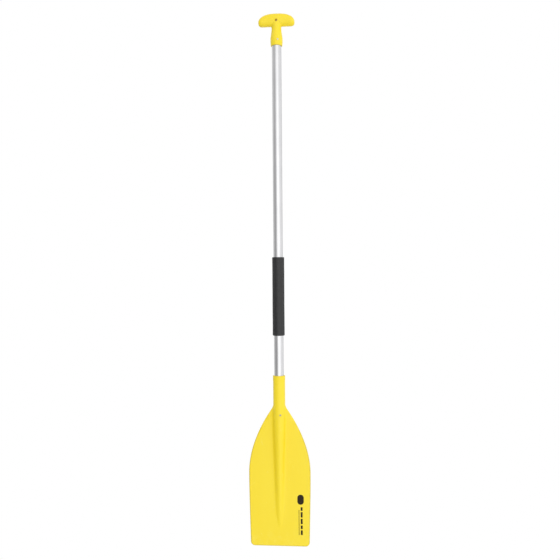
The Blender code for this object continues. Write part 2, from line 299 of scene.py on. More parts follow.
def side_curve():
    """Half the blade's outline from the corner's end to the throat, as (half width, height) points."""
    side_handle = (BLADE_WIDEST - BLADE_CORNER) / 3
    lean = (BLADE_HALF_WIDTH - BLADE_TIP_HALF_WIDTH) / 3
    lower = bezier(
        (BLADE_TIP_HALF_WIDTH, BLADE_CORNER),
        (BLADE_TIP_HALF_WIDTH + lean, BLADE_CORNER + side_handle),
        (BLADE_HALF_WIDTH, BLADE_WIDEST - side_handle),
        (BLADE_HALF_WIDTH, BLADE_WIDEST),
    )
    upper = bezier(
        (BLADE_HALF_WIDTH, BLADE_WIDEST),
        (BLADE_HALF_WIDTH, BLADE_WIDEST + SHOULDER_LOWER_HANDLE),
        (
            THROAT[0] + SHOULDER_UPPER_HANDLE * math.sin(SHOULDER_ANGLE),
            THROAT[1] - SHOULDER_UPPER_HANDLE * math.cos(SHOULDER_ANGLE),
        ),
        THROAT,
    )
    return np.vstack([lower, upper[1:]])


SIDE = side_curve()


def blade_half_width(height):
    if height < BLADE_CORNER:
        drop = BLADE_CORNER - height
        return BLADE_TIP_HALF_WIDTH - BLADE_CORNER + math.sqrt(max(BLADE_CORNER**2 - drop**2, 0.0))
    return float(np.interp(height, SIDE[:, 1], SIDE[:, 0]))


def spine_half_width(height):
    """The ridge tapers almost evenly from the socket down to its nose, which is rounded off."""
    run = min(max((height - SPINE_NOSE) / (SPINE_ROUND - SPINE_NOSE), 0.0), 1.0)
    width = SPINE_NOSE_HALF_WIDTH + (SOCKET_RADIUS - SPINE_NOSE_HALF_WIDTH) * run**SPINE_TAPER_POWER
    closing = max((SPINE_NOSE - height) / (SPINE_NOSE - SPINE_FADE), 0.0)
    return max(width * math.sqrt(max(1.0 - closing * closing, 0.0)), 0.0008)


def spine_half_depth(height):
    fraction = min(max((height - SPINE_FADE) / (SPINE_ROUND - SPINE_FADE), 0.0), 1.0)
    return SPINE_BURIED_DEPTH + (SOCKET_RADIUS - SPINE_BURIED_DEPTH) * math.sin(math.pi / 2 * fraction)


def blend_distance(first, second, width):
    """The smooth union of two distances, which leaves a fillet of about this width."""
    overlap = np.maximum(width - np.abs(first - second), 0.0)
    return np.minimum(first, second) - overlap * overlap / (4.0 * width)


def section_radii(angles, half_width, half_thickness, ridge_width, ridge_depth, fillet):
    """How far out the blade's surface lies in each direction from its middle line, by bisection."""
    near = np.zeros_like(angles)
    far = np.full_like(angles, 0.12)
    cosines, sines = np.cos(angles), np.sin(angles)
    for _ in range(40):
        middle = (near + far) / 2
        x, y = middle * cosines, middle * sines
        past = np.maximum(np.abs(x) - (half_width - half_thickness), 0.0)
        slab = np.hypot(past, y) - half_thickness
        scaled = np.hypot(x / ridge_width, y / ridge_depth)
        slope = np.maximum(np.hypot(x / ridge_width**2, y / ridge_depth**2), 1e-9)
        ridge = scaled * (scaled - 1.0) / slope
        inside = blend_distance(slab, ridge, fillet) < 0.0
        near = np.where(inside, middle, near)
        far = np.where(inside, far, middle)
    return (near + far) / 2


RIDGE_STEPS, FLAT_STEPS, EDGE_STEPS = 14, 16, 6
QUARTER_STEPS = RIDGE_STEPS + FLAT_STEPS + EDGE_STEPS
RING_STEPS = 4 * QUARTER_STEPS


def slab_directions(half_width, half_thickness, ridge_width, ridge_depth):
    """Directions over a quarter section, from the edge's middle up to the ridge's crest."""
    foot = max(ridge_width * math.sqrt(max(1 - (half_thickness / ridge_depth) ** 2, 0.0)), 0.003) + 0.002
    foot = min(foot, half_width - half_thickness)
    directions = []
    for i in range(EDGE_STEPS):
        turn = math.pi / 2 * i / EDGE_STEPS
        x = half_width - half_thickness + half_thickness * math.cos(turn)
        directions.append(math.atan2(half_thickness * math.sin(turn), x))
    for i in range(FLAT_STEPS):
        x = half_width - half_thickness + (foot - half_width + half_thickness) * i / FLAT_STEPS
        directions.append(math.atan2(half_thickness, x))
    for i in range(RIDGE_STEPS + 1):
        turn = math.pi / 2 * i / RIDGE_STEPS
        x = foot * math.cos(turn)
        y = max(ridge_depth * math.sin(turn), half_thickness)
        directions.append(math.atan2(y, x))
    return np.array(directions)


def full_turn(quarter):
    """Repeats a quarter's directions over the whole ring."""
    quarter = quarter[:-1]
    rest = math.pi / 2 + (math.pi / 2 - quarter[::-1])
    half = np.concatenate([quarter, [math.pi / 2], rest[:-1]])
    return np.concatenate([half, half + math.pi])


def blade_ring(height):
    """One closed section of the blade at this height above the tip."""
    edge = BLADE_HALF_THICKNESS
    half_thickness = edge
    if height < edge:
        half_thickness = max(edge * math.sqrt(1 - ((edge - height) / edge) ** 2), 0.0003)
    half_width = blade_half_width(min(height, THROAT[1]))
    ridge_width, ridge_depth = spine_half_width(height), spine_half_depth(height)
    fillet = max(SPINE_FILLET * float(smoothstep(0.0, 0.006, ridge_depth - half_thickness)), 0.0001)
    if height < SPINE_FADE:
        ridge_width, ridge_depth = 0.001, half_thickness / 2
    if height > THROAT[1]:
        half_width, half_thickness, fillet = 0.006, 0.002, 0.0001
    directions = slab_directions(half_width, half_thickness, ridge_width, ridge_depth)
    even = np.linspace(0.0, math.pi / 2, QUARTER_STEPS + 1)
    round_share = float(smoothstep(0.315, THROAT[1], height))
    angles = full_turn(directions * (1 - round_share) + even * round_share)
    radii = section_radii(angles, half_width, half_thickness, ridge_width, ridge_depth, fillet)
    return [(r * math.cos(a), r * math.sin(a), TIP + height) for r, a in zip(radii, angles)]


def circle_ring(radius, height):
    angles = full_turn(np.linspace(0.0, math.pi / 2, QUARTER_STEPS + 1))
    return [(radius * math.cos(a), radius * math.sin(a), TIP + height) for a in angles]


def mark_inset(blade):
    """Stores how far each point lies inside the blade's outline, for the material's painted edge shade.
    """
    heights = np.linspace(0.0, THROAT[1], 500)
    side = [(blade_half_width(height), height) for height in heights]
    tip = [(x, 0.0) for x in np.linspace(0.0, side[0][0], 60)]
    outline = np.array(tip + side)
    inset = blade.data.attributes.new("inset", "FLOAT", "POINT")
    for vertex in blade.data.vertices:
        away = outline - (abs(vertex.co.x), vertex.co.z - TIP)
        inset.data[vertex.index].value = float(np.hypot(away[:, 0], away[:, 1]).min())


def section_heights():
    """Heights of the blade's sections, closest together where its shape changes fastest."""
    edge = BLADE_HALF_THICKNESS
    rounding = [edge * (1 - math.cos(math.pi / 2 * i / 6)) for i in range(7)]
    return np.concatenate(
        [
            rounding,
            np.linspace(0.0033, BLADE_CORNER, 8),
            np.linspace(0.016, 0.040, 6),
            np.linspace(0.043, 0.090, 18),
            np.linspace(0.095, 0.200, 20),
            np.linspace(0.205, 0.340, 30),
            np.linspace(0.344, 0.392, 16),
            np.linspace(0.3940, 0.4120, 16),
            np.linspace(0.416, SOCKET_RIM - SOCKET_LIP_HEIGHT - LIP_RAMP, 8),
        ]
    )


def socket_profile():
    """(radius, height) points up the socket's lip, over its mouth and down its bore to the floor."""
    lip = SOCKET_RADIUS + SOCKET_LIP
    bore = TUBE_RADIUS + GAP
    lip_foot = SOCKET_RIM - SOCKET_LIP_HEIGHT
    outer = [
        (SOCKET_RADIUS + SOCKET_LIP * share, lip_foot + LIP_RAMP * (share - 0.5))
        for share in (0.15, 0.5, 0.85, 1.0)
    ]
    outer.append((lip, SOCKET_RIM - 0.0013))
    outer += rounded((lip, SOCKET_RIM), (lip, 0.0), (0.0, SOCKET_RIM), 0.0010)
    mouth = rounded((bore, SOCKET_RIM), (1.0, SOCKET_RIM), (bore, 0.0), 0.0008)
    inside = [(bore, SOCKET_RIM - 0.003), (bore, 0.420), (bore, TUBE_LOW.z - TIP - GAP)]
    return outer + mouth + inside


def make_blade():
    rings = [blade_ring(float(height)) for height in section_heights()]
    rings += [circle_ring(radius, height) for radius, height in socket_profile()]
    points = [point for ring in rings for point in ring]
    faces = bridged_faces(len(rings), RING_STEPS)
    # The tip's thin end is closed by quads between its front and its back.
    for i in range(RING_STEPS // 2):
        left, right = RING_STEPS - i, RING_STEPS - i - 1
        quad = (i, left % RING_STEPS, right, i + 1)
        faces.append(tuple(dict.fromkeys(quad)))
    floor = len(points)
    points.append((0.0, 0.0, TUBE_LOW.z - GAP))
    last = (len(rings) - 1) * RING_STEPS
    for i in range(RING_STEPS):
        faces.append((last + i, last + (i + 1) % RING_STEPS, floor))
    blade = mesh_object("moulded_blade", points, faces)
    mark_inset(blade)
    cut(blade, rivet_drill("blade_rivet"))
    return smooth_shaded(blade, MOULDING_SHARP_ANGLE)


# --------------------------------------------------------------------------------- T-grip


def grip_ring(x, count=96):
    """One closed section of the T-bar, at this distance across from its middle."""
    reach = abs(x)
    top = GRIP_HIGH.z - TIP - GRIP_DROOP * (reach / GRIP_HALF_LENGTH) ** 3
    narrowing = float(smoothstep(0.0, GRIP_WAIST, reach))
    depth = GRIP_HALF_DEPTH + (GRIP_ARM_HALF_DEPTH - GRIP_HALF_DEPTH) * narrowing
    run = max(reach - (GRIP_HALF_LENGTH - GRIP_TIP_ROUNDING), 0.0) / GRIP_TIP_ROUNDING
    closing = max(1.0 - run**GRIP_TIP_POWER, 0.0) ** (1.0 / GRIP_TIP_POWER)
    top = GRIP_TIP_HEIGHT + (top - GRIP_TIP_HEIGHT) * closing
    bottom = GRIP_TIP_HEIGHT + (GRIP_UNDERSIDE - GRIP_TIP_HEIGHT) * closing
    middle, half_height = (top + bottom) / 2, (top - bottom) / 2
    ring = []
    for i in range(count):
        turn = math.tau * i / count
        across = math.copysign(abs(math.cos(turn)) ** GRIP_SQUARENESS, math.cos(turn))
        up = math.copysign(abs(math.sin(turn)) ** GRIP_SQUARENESS, math.sin(turn))
        ring.append((x, depth * closing * across, TIP + middle + half_height * up))
    return ring


def smooth_profile(profile, steps=6):
    """Points of a Catmull-Rom curve through a profile's own points."""
    points = [Vector(p) for p in (profile[0], *profile, profile[-1])]
    smooth = []
    for i in range(1, len(points) - 2):
        p0, p1, p2, p3 = points[i - 1 : i + 3]
        for step in range(steps):
            t = step / steps
            smooth.append(
                0.5 * (2 * p1 + (p2 - p0) * t + (2 * p0 - 5 * p1 + 4 * p2 - p3) * t**2
                       + (3 * p1 - p0 - 3 * p2 + p3) * t**3)
            )
    smooth.append(points[-2])
    return [(p.x, p.y) for p in smooth]


def make_grip_blank():
    """The bar and the stem, before they are made into one skin."""
    sections = 60
    turns = [math.pi / 2 * i / sections for i in range(-sections, sections + 1)]
    rings = [grip_ring(GRIP_HALF_LENGTH * 0.9995 * math.sin(turn)) for turn in turns]
    count = len(rings[0])
    points = [point for ring in rings for point in ring]
    faces = bridged_faces(len(rings), count)
    faces += [tuple(range(count)), tuple(range(len(points) - count, len(points)))]
    blank = mesh_object("moulded_t_grip", points, faces)
    stem_side = [(radius, TIP + height) for radius, height in smooth_profile(STEM_PROFILE)]
    stem = revolved("stem", [(0.0, stem_side[0][1]), *stem_side, (0.0, stem_side[-1][1])])
    join = bmesh.new()
    join.from_mesh(blank.data)
    join.from_mesh(stem.data)
    join.to_mesh(blank.data)
    join.free()
    bpy.data.objects.remove(stem, do_unlink=True)
    return blank


def hang_hole_cutter():
    """A drill whose two ends flare out, so that it rounds off the hole's edges."""
    flare = rounded((HANG_HOLE_RADIUS, 0.0), (HANG_HOLE_RADIUS, -1.0), (1.0, 0.0), HANG_HOLE_ROUNDING)
    back = [(radius, GRIP_HALF_DEPTH + out) for radius, out in reversed(flare)]
    front = [(radius, -height) for radius, height in reversed(back)]
    far, flared = CUTTER_REACH, back[0][0]
    profile = [(0.0, far), (flared, far), *back, *front, (flared, -far), (0.0, -far)]
    return revolved("hole", profile, steps=64, place=facing_front(-TIP))


def grip_bore_cutter():
    """The blind socket for the tube, with a small chamfer at its mouth."""
    radius = TUBE_RADIUS + GAP
    chamfered = radius + 0.0009
    mouth = TIP + STEM_PROFILE[-1][1]
    profile = [
        (0.0, TUBE_HIGH.z + GAP),
        (radius, TUBE_HIGH.z + GAP),
        (radius, mouth + 0.0012),
        (chamfered, mouth - 0.0002),
        (chamfered, mouth - 0.01),
        (0.0, mouth - 0.01),
    ]
    return revolved("bore", profile)


def make_t_grip():
    grip = make_grip_blank()
    remesh = grip.modifiers.new("remesh", "REMESH")
    remesh.mode = "VOXEL"
    remesh.voxel_size = GRIP_VOXEL
    apply_modifiers(grip)
    soften_junction(grip)
    cut(grip, grip_bore_cutter(), hang_hole_cutter(), rivet_drill("grip_rivet"))
    return smooth_shaded(grip, MOULDING_SHARP_ANGLE)


def soften_junction(grip):
    """Smooths the whole moulding a little, and the corner between its bar and its stem much more."""
    smooth_by_weight(grip, "all", 4, lambda place: 1.0)
    smooth_by_weight(grip, "junction", 30, nearness_to_junction)
    apply_modifiers(grip)
    grip.vertex_groups.clear()


def nearness_to_junction(place):
    """1 in the corner between the bar and the stem, and less the further away from it."""
    centre, half_width, spread = 1.487, 0.016, 0.007
    up = (place.z - TIP - centre) / spread
    out = max(abs(place.x) - half_width, 0.0) / spread
    return math.exp(-up * up - out * out)


def smooth_by_weight(grip, name, passes, weight_at):
    """Adds a smoothing modifier, weaker at the thin mouth of the stem."""
    group = grip.vertex_groups.new(name=name)
    for vertex in grip.data.vertices:
        near_mouth = vertex.co.z < TIP + STEM_PROFILE[-1][1] + 0.004
        weight = weight_at(vertex.co) * (0.3 if near_mouth else 1.0)
        group.add([vertex.index], weight, "REPLACE")
    smooth = grip.modifiers.new(name, "SMOOTH")
    smooth.factor = 0.5
    smooth.iterations = passes
    smooth.vertex_group = name


# ------------------------------------------------------------------ tube, sleeve and rivets


def make_tube():
    inner = TUBE_RADIUS - TUBE_WALL
    top, bottom = TUBE_HIGH.z, TUBE_LOW.z
    profile = [
        (inner + 0.0003, top),
        (TUBE_RADIUS - 0.0003, top),
        (TUBE_RADIUS, top - 0.0003),
        (TUBE_RADIUS, bottom + 0.0003),
        (TUBE_RADIUS - 0.0003, bottom),
        (inner + 0.0003, bottom),
        (inner, bottom + 0.0003),
        (inner, top - 0.0003),
    ]
    tube = revolved("drawn_tube", profile, steps=128)
    cut(tube, rivet_drill("grip_rivet"), rivet_drill("blade_rivet"))
    return smooth_shaded(tube)


def make_sleeve():
    """A foam sleeve whose skin is very slightly uneven, with its lower end rounded over."""
    bottom, top = SLEEVE_LOW.z, SLEEVE_HIGH.z
    outer, inner = SLEEVE_HIGH.x, TUBE_RADIUS + GAP
    profile = [(inner, top - 0.0008), (inner + 0.0006, top - 0.0001)]
    profile += rounded((outer, top), (0.0, top), (outer, bottom), 0.0011)
    profile += [(outer, z) for z in np.linspace(top - 0.003, bottom + 0.0045, 90)]
    profile += rounded((outer, bottom), (outer, top), (0.0, bottom), 0.0027, steps=7)
    profile += [(inner + 0.0004, bottom + 0.0001), (inner, bottom + 0.0006)]
    sleeve = revolved("foam_hand_sleeve", profile, steps=112)
    for vertex in sleeve.data.vertices:
        radius = math.hypot(vertex.co.x, vertex.co.y)
        share = min(max((radius - inner) / (outer - inner), 0.0), 1.0)
        turn = math.atan2(vertex.co.y, vertex.co.x)
        spot = Vector((math.cos(turn), math.sin(turn), vertex.co.z * 18.0))
        swell = 0.00022 * noise.noise(spot * 1.3) + 0.0001 * noise.noise(spot * 5.0)
        scale = 1.0 + swell * share / radius
        vertex.co.x *= scale
        vertex.co.y *= scale
    return smooth_shaded(sleeve, math.radians(50.0))


def make_rivet(name):
    height, seat = RIVETS[name]
    seat += GAP
    face = seat + RIVET_HEAD_HEIGHT
    flat, rim = 0.0013, seat + 0.0002
    dome = []
    for i in range(9):
        turn = math.pi / 2 * i / 8
        out = flat + (RIVET_HEAD_RADIUS - flat) * math.sin(turn)
        dome.append((out, rim + (face - rim) * math.cos(turn)))
    body_profile = [
        (RIVET_BORE_RADIUS, face - 0.0003),
        (RIVET_BORE_RADIUS + 0.0002, face - 0.00005),
        *dome,
        (RIVET_HEAD_RADIUS, seat),
        (RIVET_SHANK_RADIUS, seat),
        (RIVET_SHANK_RADIUS, RIVET_BULB_START),
        (RIVET_BULB_RADIUS, RIVET_BULB_START - 0.0004),
        (RIVET_BULB_RADIUS, RIVET_BULB_END + 0.0004),
        (RIVET_BULB_RADIUS - 0.0005, RIVET_BULB_END),
        (RIVET_BORE_RADIUS, RIVET_BULB_END),
    ]
    stub = RIVET_BORE_RADIUS - GAP / 3
    head_base = RIVET_BULB_END - GAP
    mandrel_profile = [
        (0.0, face - MANDREL_RECESS),
        (stub * 0.8, face - MANDREL_RECESS - 0.00005),
        (stub, face - MANDREL_RECESS - 0.0002),
        (stub, head_base),
        (RIVET_SHANK_RADIUS, head_base),
        (RIVET_SHANK_RADIUS, MANDREL_HEAD_END + 0.0006),
        (stub, MANDREL_HEAD_END),
        (0.0, MANDREL_HEAD_END),
    ]
    place = facing_front(height, RIVET_TURN)
    body = revolved(f"{name}_body", body_profile, steps=48, place=place)
    mandrel = revolved(f"{name}_stub", mandrel_profile, steps=32, place=place)
    return smooth_shaded(body), smooth_shaded(mandrel)


# ------------------------------------------------------------------------------- materials


class Shading:
    """A material's node tree, with short calls for the nodes that these materials share."""

    def __init__(self, name, colour, roughness, metallic=0.0):
        self.material = bpy.data.materials.new(name)
        self.material.use_nodes = True
        self.tree = self.material.node_tree
        self.shader = self.tree.nodes["Principled BSDF"]
        self.shader.inputs["Base Color"].default_value = (*colour, 1.0)
        self.shader.inputs["Roughness"].default_value = roughness
        self.shader.inputs["Metallic"].default_value = metallic
        self.place = self.add("ShaderNodeTexCoord").outputs["Object"]

    def add(self, kind, **settings):
        node = self.tree.nodes.new(kind)
        for key, value in settings.items():
            setattr(node, key, value)
        return node

    def link(self, output, socket):
        self.tree.links.new(output, socket)

    def stretched(self, scale, vector=None):
        mapping = self.add("ShaderNodeMapping")
        mapping.inputs["Scale"].default_value = scale
        self.link(vector or self.place, mapping.inputs["Vector"])
        return mapping.outputs["Vector"]

    def noise(self, scale, detail=3.0, roughness=0.55, vector=None):
        node = self.add("ShaderNodeTexNoise")
        node.inputs["Scale"].default_value = scale
        node.inputs["Detail"].default_value = detail
        node.inputs["Roughness"].default_value = roughness
        self.link(vector or self.place, node.inputs["Vector"])
        return node.outputs["Fac"]

    def ramp(self, value, low, high, from_value, to_value):
        """Maps value's span low..high onto from_value..to_value, and holds it there."""
        node = self.add("ShaderNodeMapRange")
        node.inputs["From Min"].default_value = low
        node.inputs["From Max"].default_value = high
        node.inputs["To Min"].default_value = from_value
        node.inputs["To Max"].default_value = to_value
        self.link(value, node.inputs["Value"])
        return node.outputs["Result"]

    def fill(self, node, values):
        for socket, value in zip(node.inputs, values):
            if isinstance(value, bpy.types.NodeSocket):
                self.link(value, socket)
            else:
                socket.default_value = value

    def maths(self, operation, *values):
        node = self.add("ShaderNodeMath", operation=operation)
        self.fill(node, values)
        return node.outputs["Value"]

    def vector_maths(self, operation, *values):
        node = self.add("ShaderNodeVectorMath", operation=operation)
        self.fill(node, values)
        return node.outputs["Value" if operation == "DOT_PRODUCT" else "Vector"]

    def length(self, vector):
        node = self.add("ShaderNodeVectorMath", operation="LENGTH")
        self.link(vector, node.inputs[0])
        return node.outputs["Value"]

    def separate(self, axis):
        node = self.add("ShaderNodeSeparateXYZ")
        self.link(self.place, node.inputs["Vector"])
        return node.outputs[axis]

    def hairlines(self, lean, cover):
        """Broken scratches a fraction of a millimetre wide, leaning this far from the long axis."""
        turned = self.add("ShaderNodeVectorRotate", rotation_type="Y_AXIS")
        turned.inputs["Angle"].default_value = lean
        self.link(self.place, turned.inputs["Vector"])
        streaked = self.stretched((60.0, 60.0, 7.0), turned.outputs["Vector"])
        level = self.noise(1.0, detail=1.0, vector=streaked)
        away = self.maths("ABSOLUTE", self.maths("SUBTRACT", level, 0.5))
        line = self.ramp(away, 0.0010, 0.0034, 1.0, 0.0)
        patch = self.noise(38.0 + 9.0 * lean, detail=2.0)
        return self.maths("MULTIPLY", line, self.ramp(patch, cover, cover + 0.06, 0.0, 1.0))

    def mix(self, share, first, second):
        """A colour mix. first and second are colours or colour outputs."""
        node = self.add("ShaderNodeMix", data_type="RGBA")
        self.link(share, node.inputs["Factor"])
        for socket, value in ((node.inputs[6], first), (node.inputs[7], second)):
            if isinstance(value, tuple):
                socket.default_value = (*value, 1.0)
            else:
                self.link(value, socket)
        return node.outputs[2]

    def bumps(self, *layers):
        """Stacks (height output, distance, strength) layers of relief onto the shader."""
        normal = None
        for height, distance, strength in layers:
            node = self.add("ShaderNodeBump")
            node.inputs["Distance"].default_value = distance
            node.inputs["Strength"].default_value = strength
            self.link(height, node.inputs["Height"])
            if normal is not None:
                self.link(normal, node.inputs["Normal"])
            normal = node.outputs["Normal"]
        self.link(normal, self.shader.inputs["Normal"])


# Plastic and ink colours, the blade's painted edge shade, and where each moulding is scuffed, as
# plastic_material explains
YELLOW = (0.945, 0.740, 0.020)
YELLOW_DEEP = (0.930, 0.715, 0.014)
YELLOW_PALE = (0.955, 0.790, 0.100)
YELLOW_PAINTED_EDGE_SHADE = (0.560, 0.440, 0.030)
INK = (0.020, 0.012, 0.003)
BLADE_SCUFFS = ("Z", -TIP - 0.055, -TIP)
GRIP_SCUFFS = ("X", 0.036, GRIP_HALF_LENGTH)


def plastic_material(name, scuffed):
    """Moulded polypropylene with mottling, spark-eroded grain, a parting line, scratches and scuffs.

    scuffed is (axis, where scuffing starts, where it is heaviest) and follows the axis's distance
    from the frame's origin.
    """
    shading = Shading(name, YELLOW, 0.4)
    flow = shading.noise(9.0, vector=shading.stretched((1.0, 1.0, 0.35)))
    grain = shading.noise(2600.0, detail=2.0)
    peel = shading.noise(150.0, detail=2.0)
    scratches = shading.maths("MAXIMUM", shading.hairlines(0.5, 0.55), shading.hairlines(-0.9, 0.57))
    scratches = shading.maths("MAXIMUM", scratches, shading.hairlines(0.08, 0.54))
    colour = shading.mix(shading.ramp(flow, 0.35, 0.65, 0.0, 1.0), YELLOW_DEEP, YELLOW)
    axis, start, heaviest = scuffed
    reach = shading.ramp(shading.maths("ABSOLUTE", shading.separate(axis)), start, heaviest, 0.0, 0.6)
    rub = shading.ramp(shading.noise(60.0, detail=6.0, roughness=0.65), 0.50, 0.62, 0.0, 1.0)
    grit = shading.ramp(shading.noise(700.0, detail=3.0), 0.40, 0.55, 0.3, 1.0)
    scuffs = shading.maths("MULTIPLY", reach, shading.maths("MULTIPLY", rub, grit))
    wear = shading.maths("MAXIMUM", shading.maths("MULTIPLY", scratches, 0.55), scuffs)
    colour = shading.mix(wear, colour, YELLOW_PALE)
    shading.link(colour, shading.shader.inputs["Base Color"])
    rough = shading.ramp(peel, 0.3, 0.7, 0.36, 0.44)
    rough = shading.maths("ADD", rough, shading.maths("MULTIPLY", wear, 0.14))
    shading.link(rough, shading.shader.inputs["Roughness"])
    parting = shading.ramp(shading.maths("ABSOLUTE", shading.separate("Y")), 0.00010, 0.00032, 1.0, 0.0)
    groove = shading.maths("SUBTRACT", 1.0, scratches)
    shading.bumps(
        (peel, 0.0006, 0.20),
        (grain, 0.00022, 0.45),
        (parting, 0.00022, 1.0),
        (groove, 0.00008, 0.6),
    )
    return shading


def printed_box(shading, middle, half_size, corner):
    """1 where the blade's face lies inside a rounded box, and 0 outside it."""
    flat = shading.vector_maths("MULTIPLY", shading.place, (1.0, 0.0, 1.0))
    offset = shading.vector_maths("SUBTRACT", flat, (middle[0], 0.0, TIP + middle[1]))
    offset = shading.vector_maths("ABSOLUTE", offset)
    past = shading.vector_maths("SUBTRACT", offset, (half_size[0] - corner, 0.0, half_size[1] - corner))
    past = shading.vector_maths("MAXIMUM", past, (0.0, 0.0, 0.0))
    return shading.ramp(shading.length(past), corner - 0.00015, corner + 0.00015, 1.0, 0.0)


def add_print(shading):
    """A plain rounded patch, a row of bars and a thin rule, all without lettering."""
    ink = printed_box(shading, *PRINT_PATCH, PRINT_PATCH[1][0] - 0.0001)
    for middle, half_length in PRINT_BARS:
        bar = printed_box(shading, (PRINT_BAR_X, middle), (PRINT_BAR_HALF_WIDTH, half_length), 0.0012)
        ink = shading.maths("MAXIMUM", ink, bar)
    ink = shading.maths("MAXIMUM", ink, printed_box(shading, *PRINT_RULE, 0.0004))
    flecks = shading.ramp(shading.noise(1500.0, detail=3.0), 0.26, 0.32, 0.5, 1.0)
    front = shading.ramp(shading.separate("Y"), -0.0016, -0.0012, 1.0, 0.0)
    ink = shading.maths("MULTIPLY", shading.maths("MULTIPLY", ink, flecks), front)
    under = shading.shader.inputs["Base Color"].links[0].from_socket
    shading.link(shading.mix(ink, under, INK), shading.shader.inputs["Base Color"])
    shading.link(shading.ramp(ink, 0.0, 1.0, 0.5, 0.18), shading.shader.inputs["Specular IOR Level"])


def blade_material():
    """The moulding's plastic with painted shade darkening its edges, and the print on its front."""
    shading = plastic_material("blade_plastic", BLADE_SCUFFS)
    inset = shading.add("ShaderNodeAttribute", attribute_name="inset").outputs["Fac"]
    uneven = shading.ramp(shading.noise(70.0, detail=4.0), 0.3, 0.7, -0.0010, 0.0010)
    # Painted shade: the colour darkens towards the blade's outline, below the socket, standing in for
    # the shade on its rounded edges.
    edge = shading.ramp(shading.maths("ADD", inset, uneven), 0.0012, 0.0036, 1.0, 0.0)
    low = shading.ramp(shading.separate("Z"), TIP + 0.300, TIP + 0.370, 0.6, 0.0)
    under = shading.shader.inputs["Base Color"].links[0].from_socket
    edge_shaded_colour = shading.mix(shading.maths("MULTIPLY", edge, low), under, YELLOW_PAINTED_EDGE_SHADE)
    shading.link(edge_shaded_colour, shading.shader.inputs["Base Color"])
    add_print(shading)
    return shading.material


def tube_material():
    """Drawn and satin-anodised aluminium: fine lines along its length, and a soft uneven sheen."""
    shading = Shading("satin_tube", (0.78, 0.78, 0.79), 0.3, metallic=1.0)
    lines = shading.noise(700.0, detail=3.0, vector=shading.stretched((1.0, 1.0, 0.004)))
    cloud = shading.noise(14.0, detail=3.0)
    nicks = shading.noise(150.0, detail=2.0, vector=shading.stretched((1.0, 1.0, 0.12)))
    marks = shading.ramp(nicks, 0.70, 0.74, 0.0, 1.0)
    clouded = shading.ramp(cloud, 0.35, 0.65, 0.0, 1.0)
    tone = shading.mix(clouded, (0.665, 0.665, 0.675), (0.71, 0.71, 0.72))
    tone = shading.mix(shading.ramp(lines, 0.3, 0.7, 0.0, 0.5), tone, (0.64, 0.64, 0.65))
    shading.link(tone, shading.shader.inputs["Base Color"])
    rough = shading.ramp(lines, 0.3, 0.7, 0.26, 0.34)
    rough = shading.maths("ADD", rough, shading.maths("MULTIPLY", marks, 0.15))
    shading.link(rough, shading.shader.inputs["Roughness"])
    shading.bumps((lines, 0.00005, 0.15), (marks, 0.00004, 0.2))
    return shading.material


def foam_material():
    """Closed-cell foam with a faintly waxy skin: fine open pores and a dusty, uneven black.

    Its pores hide the gloss that a smooth skin would have at a grazing angle.
    """
    shading = Shading("black_cell_foam", (0.016, 0.016, 0.017), 0.5)
    cells = shading.add("ShaderNodeTexVoronoi", feature="F1")
    cells.inputs["Scale"].default_value = 1100.0
    shading.link(shading.place, cells.inputs["Vector"])
    pores = shading.ramp(cells.outputs["Distance"], 0.05, 0.45, 0.0, 1.0)
    cloud = shading.noise(55.0, detail=4.0)
    speck = shading.noise(420.0, detail=3.0)
    clouded = shading.ramp(cloud, 0.35, 0.7, 0.0, 1.0)
    tone = shading.mix(clouded, (0.005, 0.005, 0.006), (0.010, 0.010, 0.011))
    tone = shading.mix(shading.ramp(speck, 0.45, 0.75, 0.0, 0.7), tone, (0.024, 0.024, 0.026))
    tone = shading.mix(pores, (0.006, 0.006, 0.006), tone)
    shading.link(tone, shading.shader.inputs["Base Color"])
    shading.link(shading.ramp(cloud, 0.3, 0.7, 0.31, 0.42), shading.shader.inputs["Roughness"])
    grazing = shading.add("ShaderNodeLayerWeight").outputs["Facing"]
    gloss = shading.ramp(grazing, 0.30, 0.70, 0.55, 0.10)
    shading.link(gloss, shading.shader.inputs["Specular IOR Level"])
    shading.bumps((pores, 0.0004, 0.7), (speck, 0.0005, 0.5))
    return shading.material


def rivet_material(name, colour, smoothest, roughest):
    """Pressed aluminium with smudges and a faintly uneven skin, in the colour it is given."""
    shading = Shading(name, colour, 0.4, metallic=1.0)
    smudge = shading.noise(600.0, detail=4.0)
    shading.link(shading.ramp(smudge, 0.3, 0.7, smoothest, roughest), shading.shader.inputs["Roughness"])
    shading.bumps((smudge, 0.00005, 0.3))
    return shading.material


def mandrel_material():
    """Broken steel, dull and grainy."""
    shading = Shading("broken_steel", (0.34, 0.33, 0.32), 0.5, metallic=1.0)
    grain = shading.noise(2500.0, detail=3.0)
    shading.link(shading.ramp(grain, 0.3, 0.7, 0.4, 0.7), shading.shader.inputs["Roughness"])
    shading.bumps((grain, 0.0001, 0.6))
    return shading.material


def plug_material():
    """Pale closed-cell plug foam."""
    shading = Shading("plug_cell_foam", (0.74, 0.73, 0.69), 0.9)
    cells = shading.noise(700.0, detail=3.0)
    tone = shading.mix(shading.ramp(cells, 0.35, 0.65, 0.0, 1.0), (0.62, 0.61, 0.57), (0.78, 0.77, 0.73))
    shading.link(tone, shading.shader.inputs["Base Color"])
    shading.bumps((cells, 0.0004, 0.5))
    return shading.material


def dress(piece, material):
    piece.data.materials.clear()
    piece.data.materials.append(material)


def put_in_place(piece, material, node):
    dress(piece, material)
    piece.data.polygons.foreach_set("material_index", [0] * len(piece.data.polygons))
    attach(piece, "root")
    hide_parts(node)


